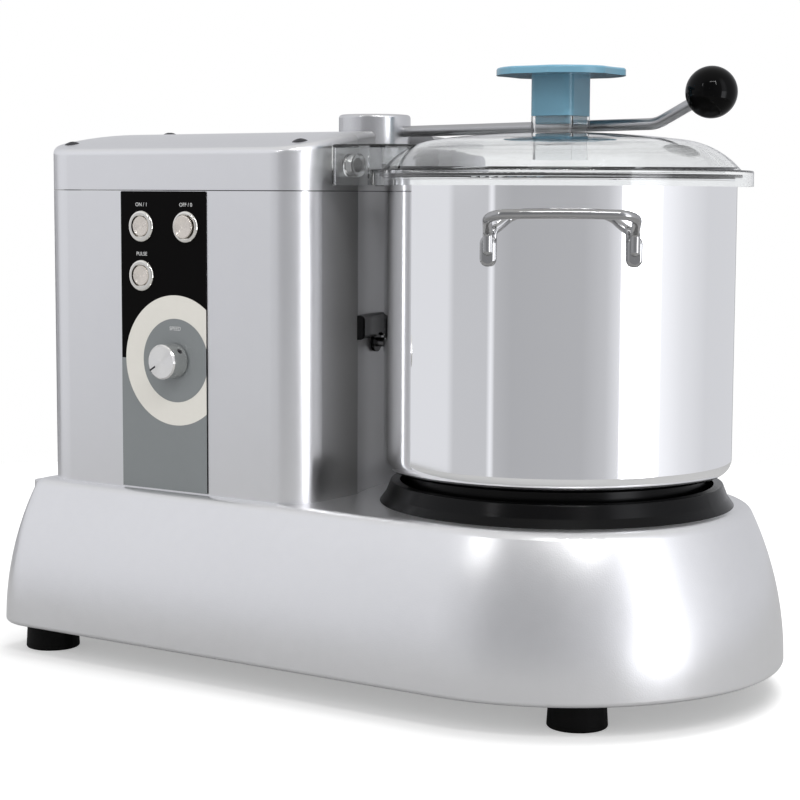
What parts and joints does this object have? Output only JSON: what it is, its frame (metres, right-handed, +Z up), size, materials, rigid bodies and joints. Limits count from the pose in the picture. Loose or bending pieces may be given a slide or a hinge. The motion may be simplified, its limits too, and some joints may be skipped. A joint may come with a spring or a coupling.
{
  "type": "bench-top bowl cutter",
  "caption": "Bench-top bowl cutter: cast base, steel drive housing with push buttons and speed knob, lift-out bowl with sickle blades, clear lid with pusher, swing lever clamp.",
  "frame": {"origin": "centre of the base's footprint on the worktop, at the bottom of the feet", "axes": "+X towards the bowl end, -Y towards the control panel, +Z up"},
  "size_m": [0.5549, 0.317, 0.4264],
  "materials": {
    "cast_aluminium": "polished casting",
    "zinc_plate": "zinc plated",
    "foot_rubber": "matt",
    "steel_fasteners": "plain",
    "housing_steel": "satin",
    "black_screws": "black oxide",
    "panel_film": "printed film",
    "switch_metal": "polished",
    "button_metal": "turned",
    "knob_aluminium": "turned",
    "black_plastic": "semi gloss",
    "circuit_board": "satin",
    "brass_parts": "turned",
    "bowl_steel": "mirror polished stainless",
    "wire_steel": "polished stainless",
    "clear_lid": "clear polycarbonate",
    "seal_rubber": "satin",
    "magnet_steel": "nickel plated",
    "blue_plastic": "gloss",
    "lever_steel": "satin",
    "ball_plastic": "high gloss",
    "bearing_steel": "ground",
    "blade_steel": "ground",
    "blade_plastic": "white",
    "pulley_iron": "machined",
    "belt_rubber": "matt",
    "motor_iron": "painted"
  },
  "bodies": {
    "machine": {"base_casting": "cast_aluminium", "base_bottom_plate": "zinc_plate", "rubber_feet": "foot_rubber", "foot_screws": "steel_fasteners", "housing_shell": "housing_steel", "top_cover": "housing_steel", "cover_screws": "black_screws", "cover_posts": "zinc_plate", "panel_overlay": "panel_film", "switch_bodies": "switch_metal", "switch_nuts": "steel_fasteners", "dial_body": "black_plastic", "control_board": "circuit_board", "board_standoffs": "brass_parts", "bowl_seat_ring": "black_plastic", "seat_ring_screws": "steel_fasteners", "lever_bracket": "zinc_plate", "lever_bushings": "brass_parts", "post_wiper": "seal_rubber", "sensor_guide": "black_plastic", "sensor_hood": "black_plastic", "spindle_housing": "cast_aluminium", "spindle_bearings": "bearing_steel", "spindle_seal": "seal_rubber", "drive_belt": "belt_rubber", "motor_body": "motor_iron", "deck_bolts": "steel_fasteners", "fan_cowl": "zinc_plate", "cable_gland": "black_plastic"},
    "lift_collar": {"lift_collar": "brass_parts"},
    "lever": {"lever_post": "lever_steel", "lever_hub": "lever_steel", "lever_arm": "lever_steel", "ball_knob": "ball_plastic"},
    "lid": {"lid": "clear_lid", "lid_seal": "seal_rubber", "lid_magnet": "magnet_steel"},
    "pusher": {"pusher": "blue_plastic"},
    "bowl": {"bowl": "bowl_steel", "bowl_foot_ring": "black_plastic", "bowl_tube": "bowl_steel", "front_handle": "wire_steel", "back_handle": "wire_steel"},
    "cutter": {"spindle": "blade_steel", "driven_pulley": "pulley_iron", "blade_hub": "blade_plastic", "lower_blade": "blade_steel", "upper_blade": "blade_steel", "blade_spacer": "blade_plastic", "blade_clamp": "blade_plastic", "blade_cap": "blade_plastic"},
    "motor_rotor": {"motor_shaft": "bearing_steel", "motor_pulley": "pulley_iron", "motor_fan": "black_plastic"},
    "on_button": {"on_button": "button_metal"},
    "off_button": {"off_button": "button_metal"},
    "pulse_button": {"pulse_button": "button_metal"},
    "speed_dial": {"speed_knob": "knob_aluminium", "dial_shaft": "steel_fasteners"},
    "sensor_pin": {"sensor_pin": "wire_steel"}
  },
  "joints": [
    {"name": "lever_rise", "type": "slide", "parent": "machine", "child": "lift_collar", "axis": [0, 0, 1], "range_m": [0, 0.0144]},
    {"name": "lever_swing", "type": "hinge", "parent": "lift_collar", "child": "lever", "pos_m": [-0.044, 0.013, 0.385], "axis": [0, 0, 1], "range_deg": [0, 110]},
    {"name": "lid_lift", "type": "slide", "parent": "machine", "child": "lid", "axis": [0, 0, 1], "range_m": [0, 0.0396]},
    {"name": "pusher_lift", "type": "slide", "parent": "lid", "child": "pusher", "axis": [0, 0, 1], "range_m": [0, 0.04]},
    {"name": "bowl_turn", "type": "hinge", "parent": "machine", "child": "bowl", "pos_m": [0.119, 0, 0.139], "axis": [0, 0, 1], "range_deg": [-35, 0]},
    {"name": "blade_spin", "type": "hinge", "parent": "machine", "child": "cutter", "pos_m": [0.119, 0, 0.129], "axis": [0, 0, 1], "continuous": true},
    {"name": "motor_spin", "type": "hinge", "parent": "machine", "child": "motor_rotor", "pos_m": [-0.151, 0, 0.129], "axis": [0, 0, 1], "continuous": true},
    {"name": "on_press", "type": "slide", "parent": "machine", "child": "on_button", "axis": [0, 1, 0], "range_m": [0, 0.0016], "stiffness_N_per_m": 800},
    {"name": "off_press", "type": "slide", "parent": "machine", "child": "off_button", "axis": [0, 1, 0], "range_m": [0, 0.0016], "stiffness_N_per_m": 800},
    {"name": "pulse_press", "type": "slide", "parent": "machine", "child": "pulse_button", "axis": [0, 1, 0], "range_m": [0, 0.0016], "stiffness_N_per_m": 800},
    {"name": "speed_turn", "type": "hinge", "parent": "machine", "child": "speed_dial", "pos_m": [-0.1177, -0.1255, 0.2229], "axis": [0, 1, 0], "range_deg": [0, 300]},
    {"name": "sensor_press", "type": "slide", "parent": "machine", "child": "sensor_pin", "axis": [-0.988, -0.1547, 0], "range_m": [0, 0.006], "stiffness_N_per_m": 300}
  ],
  "couplings": [
    {"joint": "lever_rise", "follows": "lever_swing", "m_per_rad": 0.0075},
    {"joint": "lid_lift", "follows": "lever_swing", "m_per_rad": 0.0206},
    {"joint": "motor_spin", "follows": "blade_spin", "ratio": 2}
  ]
}
